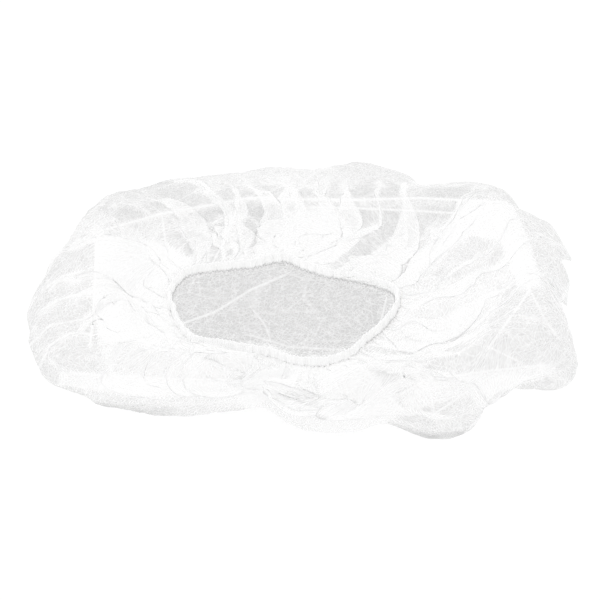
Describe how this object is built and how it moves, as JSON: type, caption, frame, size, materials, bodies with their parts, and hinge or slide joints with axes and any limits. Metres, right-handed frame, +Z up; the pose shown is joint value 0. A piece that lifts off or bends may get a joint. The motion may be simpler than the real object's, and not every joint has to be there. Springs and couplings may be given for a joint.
{
  "type": "bouffant cap",
  "caption": "Round bouffant cap of thin nonwoven fabric, lying on its crown with the elastic opening up, its gathered sides slumped into soft folds.",
  "frame": {"origin": "on the surface the cap rests on, below the middle of its outline", "axes": "+X along the cap's longest extent, to the right of someone facing the low side of the opening; +Y away from that side; +Z up, out of the opening"},
  "size_m": [0.3242, 0.2678, 0.0525],
  "materials": {
    "nonwoven": "thin translucent white spunbonded nonwoven, matte, with a random fibre pattern and sharp creases",
    "hem_nonwoven": "the same nonwoven folded over and stitched, near opaque white",
    "elastic": "covered white elastic tape"
  },
  "bodies": {
    "root": {"crown": "nonwoven", "hem_band": "hem_nonwoven", "elastic_band": "elastic"}
  },
  "joints": []
}
